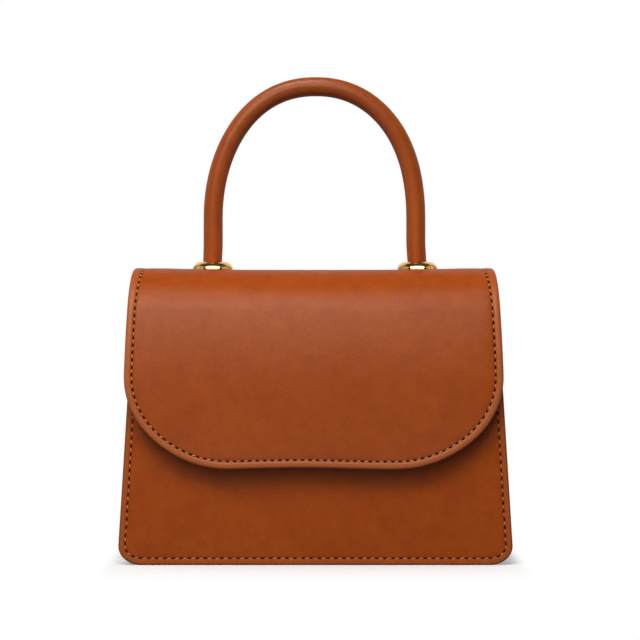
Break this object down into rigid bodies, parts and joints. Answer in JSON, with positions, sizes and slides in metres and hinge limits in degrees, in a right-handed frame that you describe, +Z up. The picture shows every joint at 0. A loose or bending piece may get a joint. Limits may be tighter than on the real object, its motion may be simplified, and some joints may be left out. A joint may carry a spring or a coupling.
{
  "type": "top-handle flap bag",
  "caption": "Small structured leather handbag with a rolled front flap on a hidden magnetic snap, a round top handle on metal collars, and swinging side strap rings.",
  "frame": {"origin": "middle of the bag's outline on the surface it stands on, with the flap closed", "axes": "+Z up along the height; +Y from the front, with the flap, to the back; +X to the right of someone facing the front"},
  "size_m": [0.2012, 0.0922, 0.2542],
  "materials": {
    "leather": "smooth tan calf, satin",
    "lining": "matt suede lining",
    "board": "matt bonded leather board",
    "filler": "matt felt filler",
    "core": "cotton rope",
    "gold": "polished light gold plating",
    "steel": "plain zinc plated"
  },
  "bodies": {
    "body": {"front_panel": "leather", "back_panel": "leather", "left_gusset": "leather", "right_gusset": "leather", "base_panel": "leather", "front_stiffener": "board", "back_stiffener": "board", "base_board": "board", "front_lining": "lining", "back_lining": "lining", "left_lining": "lining", "right_lining": "lining", "base_lining": "lining", "slip_pocket": "lining", "flap_crown": "leather", "bridge_board": "board", "bridge_lining": "lining", "anchor_plate": "steel", "snap_socket": "gold", "snap_socket_washer": "steel", "handle_wrap": "leather", "handle_core": "core", "left_collar": "gold", "right_collar": "gold", "left_handle_insert": "steel", "right_handle_insert": "steel", "left_handle_screw": "steel", "right_handle_screw": "steel", "left_ring_tab": "leather", "right_ring_tab": "leather"},
    "flap_lid": {"flap_lid_leather": "leather", "flap_lid_filler": "filler", "flap_lid_lining": "lining"},
    "flap_front": {"flap_front_leather": "leather", "flap_front_filler": "filler", "flap_front_lining": "lining", "snap_stud": "gold", "snap_stud_washer": "steel"},
    "left_ring": {"left_strap_ring": "gold"},
    "right_ring": {"right_strap_ring": "gold"}
  },
  "joints": [
    {"name": "flap_lid_hinge", "type": "hinge", "parent": "body", "child": "flap_lid", "pos_m": [0, 0.00414, 0.1512], "axis": [-1, 0, 0], "range_deg": [0, 95]},
    {"name": "flap_fold_hinge", "type": "hinge", "parent": "flap_lid", "child": "flap_front", "pos_m": [0, -0.03387, 0.14408], "axis": [-1, 0, 0], "range_deg": [0, 80]},
    {"name": "left_ring_swing", "type": "hinge", "parent": "body", "child": "left_ring", "pos_m": [-0.0913, 0.00314, 0.13065], "axis": [0, 1, 0], "range_deg": [0, 150]},
    {"name": "right_ring_swing", "type": "hinge", "parent": "body", "child": "right_ring", "pos_m": [0.0913, 0.00314, 0.13065], "axis": [0, -1, 0], "range_deg": [0, 150]}
  ]
}
